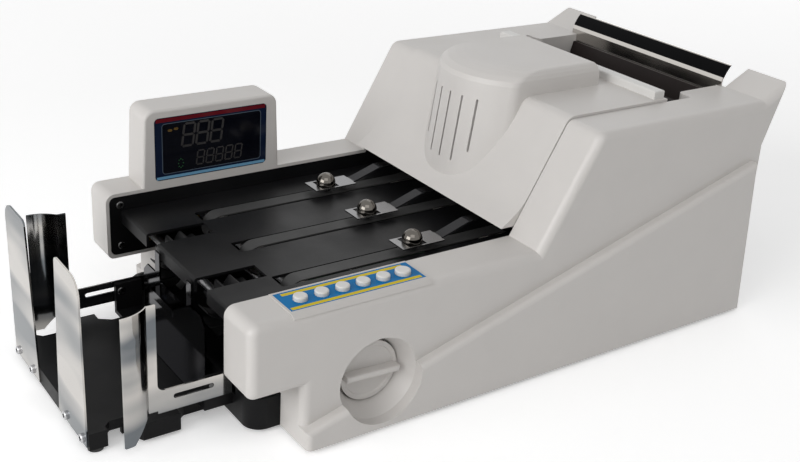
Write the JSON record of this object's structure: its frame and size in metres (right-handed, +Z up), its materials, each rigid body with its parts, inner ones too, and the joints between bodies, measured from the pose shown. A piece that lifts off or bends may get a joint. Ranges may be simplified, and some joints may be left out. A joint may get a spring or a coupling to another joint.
{
  "type": "banknote counting machine",
  "caption": "Long bench-top note counter: rear hopper, domed hinged cover, belt deck with ball arms, display, keys and a sheet-metal stacker.",
  "frame": {"origin": "on the bench under the middle of the machine's length and width", "axes": "+Z up, +X along the length from the stacker to the hopper, +Y to the display side"},
  "size_m": [0.5404, 0.27, 0.195],
  "materials": {
    "cover_plastic": "fine moulded texture",
    "pale_plastic": "smooth satin",
    "black_plastic": "satin moulded",
    "black_steel": "fine black powder coat",
    "bright_sheet": "polished",
    "spring_steel": "lightly brushed",
    "ball_steel": "polished ball",
    "belt_rubber": "matt",
    "roller_alloy": "turned",
    "bronze": "sintered",
    "smoked_window": "glossy, dark",
    "circuit_board": "lacquered",
    "motor_paint": "semi-gloss"
  },
  "bodies": {
    "frame": {"arm_pivot_rod": "spring_steel", "chassis_pan": "black_plastic", "cover_hinge_pins": "spring_steel", "deck_plate": "black_steel", "display_board": "circuit_board", "display_housing": "cover_plastic", "display_port": "spring_steel", "display_window": "smoked_window", "drive_belts": "belt_rubber", "far_frame_plate": "black_steel", "far_side_cover": "cover_plastic", "far_stop_plate": "bright_sheet", "hopper_rear_plate": "bright_sheet", "hopper_tray": "black_plastic", "key_board": "circuit_board", "key_panel": "cover_plastic", "lower_guide_plate": "black_steel", "main_board": "circuit_board", "main_motor": "motor_paint", "near_frame_plate": "black_steel", "near_side_cover": "cover_plastic", "near_stop_plate": "bright_sheet", "pan_head_screws": "spring_steel", "power_inlet": "black_plastic", "rear_panel": "black_steel", "rubber_feet": "belt_rubber", "sensor_bar": "black_plastic", "separator_bar": "black_plastic", "shaft_bushes": "bronze", "stacker_back_plate": "bright_sheet", "stacker_base": "black_plastic", "tie_rods": "spring_steel", "transformer": "motor_paint", "transport_belts": "belt_rubber"},
    "main_drive": {"hand_knob": "cover_plastic", "drive_shaft": "spring_steel"},
    "deck_drive": {"deck_drive_roller": "roller_alloy"},
    "deck_idler": {"deck_idler_roller": "roller_alloy"},
    "stacker_drive": {"stacker_shaft": "spring_steel", "stacker_wheels": "black_plastic"},
    "feed_drive": {"feed_roller": "belt_rubber"},
    "pickup_drive": {"pickup_roller": "belt_rubber"},
    "motor_rotor": {"motor_shaft": "spring_steel"},
    "cover": {"top_cover": "cover_plastic", "hopper_gate_strip": "pale_plastic"},
    "arm_far": {"ball_arm_far": "spring_steel"},
    "arm_middle": {"ball_arm_middle": "spring_steel"},
    "arm_near": {"ball_arm_near": "spring_steel"},
    "ball_far": {"steel_ball_far": "ball_steel"},
    "ball_middle": {"steel_ball_middle": "ball_steel"},
    "ball_near": {"steel_ball_near": "ball_steel"},
    "wing_near": {"near_wing": "bright_sheet"},
    "wing_far": {"far_wing": "bright_sheet"},
    "rocker": {"power_rocker": "black_plastic"},
    "mode_key_cap": {"mode_key": "pale_plastic"},
    "preset_key_cap": {"preset_key": "pale_plastic"},
    "add_key_cap": {"add_key": "pale_plastic"},
    "batch_key_cap": {"batch_key": "pale_plastic"},
    "clear_key_cap": {"clear_key": "pale_plastic"},
    "start_key_cap": {"start_key": "pale_plastic"}
  },
  "joints": [
    {"name": "knob_turn", "type": "hinge", "parent": "frame", "child": "main_drive", "pos_m": [-0.09615, 0, 0.036], "axis": [0, 1, 0], "continuous": true},
    {"name": "deck_drive_turn", "type": "hinge", "parent": "frame", "child": "deck_drive", "pos_m": [0.05085, 0, 0.0723], "axis": [0, 1, 0], "continuous": true},
    {"name": "deck_idler_turn", "type": "hinge", "parent": "frame", "child": "deck_idler", "pos_m": [-0.11715, 0, 0.0723], "axis": [0, 1, 0], "continuous": true},
    {"name": "stacker_turn", "type": "hinge", "parent": "frame", "child": "stacker_drive", "pos_m": [-0.15665, 0, 0.0615], "axis": [0, 1, 0], "continuous": true},
    {"name": "feed_turn", "type": "hinge", "parent": "frame", "child": "feed_drive", "pos_m": [0.15585, 0, 0.091], "axis": [0, 1, 0], "continuous": true},
    {"name": "pickup_turn", "type": "hinge", "parent": "frame", "child": "pickup_drive", "pos_m": [0.20535, 0, 0.1185], "axis": [0, 1, 0], "continuous": true},
    {"name": "motor_turn", "type": "hinge", "parent": "frame", "child": "motor_rotor", "pos_m": [0.20285, 0, 0.053], "axis": [0, 1, 0], "continuous": true},
    {"name": "cover_lift", "type": "hinge", "parent": "frame", "child": "cover", "pos_m": [0.16485, 0, 0.166], "axis": [0, 1, 0], "range_deg": [0, 50]},
    {"name": "arm_far_lift", "type": "hinge", "parent": "frame", "child": "arm_far", "pos_m": [0.04285, 0.058, 0.09905], "axis": [0, 1, 0], "range_deg": [0, 10]},
    {"name": "ball_far_roll", "type": "hinge", "parent": "arm_far", "child": "ball_far", "pos_m": [-0.02565, 0.058, 0.0912], "axis": [0, 1, 0], "continuous": true},
    {"name": "arm_middle_lift", "type": "hinge", "parent": "frame", "child": "arm_middle", "pos_m": [0.04285, 0, 0.09905], "axis": [0, 1, 0], "range_deg": [0, 10]},
    {"name": "ball_middle_roll", "type": "hinge", "parent": "arm_middle", "child": "ball_middle", "pos_m": [-0.02565, 0, 0.0912], "axis": [0, 1, 0], "continuous": true},
    {"name": "arm_near_lift", "type": "hinge", "parent": "frame", "child": "arm_near", "pos_m": [0.04285, -0.058, 0.09905], "axis": [0, 1, 0], "range_deg": [0, 10]},
    {"name": "ball_near_roll", "type": "hinge", "parent": "arm_near", "child": "ball_near", "pos_m": [-0.02565, -0.058, 0.0912], "axis": [0, 1, 0], "continuous": true},
    {"name": "wing_near_slide", "type": "slide", "parent": "frame", "child": "wing_near", "axis": [1, 0, 0], "range_m": [0, 0.015]},
    {"name": "wing_far_slide", "type": "slide", "parent": "frame", "child": "wing_far", "axis": [1, 0, 0], "range_m": [0, 0.015]},
    {"name": "mode_key_press", "type": "slide", "parent": "frame", "child": "mode_key_cap", "axis": [0, 0, -1], "range_m": [0, 0.001], "stiffness_N_per_m": 400},
    {"name": "preset_key_press", "type": "slide", "parent": "frame", "child": "preset_key_cap", "axis": [0, 0, -1], "range_m": [0, 0.001], "stiffness_N_per_m": 400},
    {"name": "add_key_press", "type": "slide", "parent": "frame", "child": "add_key_cap", "axis": [0, 0, -1], "range_m": [0, 0.001], "stiffness_N_per_m": 400},
    {"name": "batch_key_press", "type": "slide", "parent": "frame", "child": "batch_key_cap", "axis": [0, 0, -1], "range_m": [0, 0.001], "stiffness_N_per_m": 400},
    {"name": "clear_key_press", "type": "slide", "parent": "frame", "child": "clear_key_cap", "axis": [0, 0, -1], "range_m": [0, 0.001], "stiffness_N_per_m": 400},
    {"name": "start_key_press", "type": "slide", "parent": "frame", "child": "start_key_cap", "axis": [0, 0, -1], "range_m": [0, 0.001], "stiffness_N_per_m": 400},
    {"name": "rocker_tilt", "type": "hinge", "parent": "frame", "child": "rocker", "pos_m": [0.24285, 0.066, 0.077], "axis": [0, 1, 0], "range_deg": [-8, 8]}
  ],
  "couplings": [
    {"joint": "deck_drive_turn", "follows": "knob_turn", "ratio": 1},
    {"joint": "deck_idler_turn", "follows": "knob_turn", "ratio": 1},
    {"joint": "stacker_turn", "follows": "knob_turn", "ratio": 1},
    {"joint": "feed_turn", "follows": "knob_turn", "ratio": 1},
    {"joint": "pickup_turn", "follows": "knob_turn", "ratio": 1},
    {"joint": "motor_turn", "follows": "knob_turn", "ratio": 1}
  ]
}
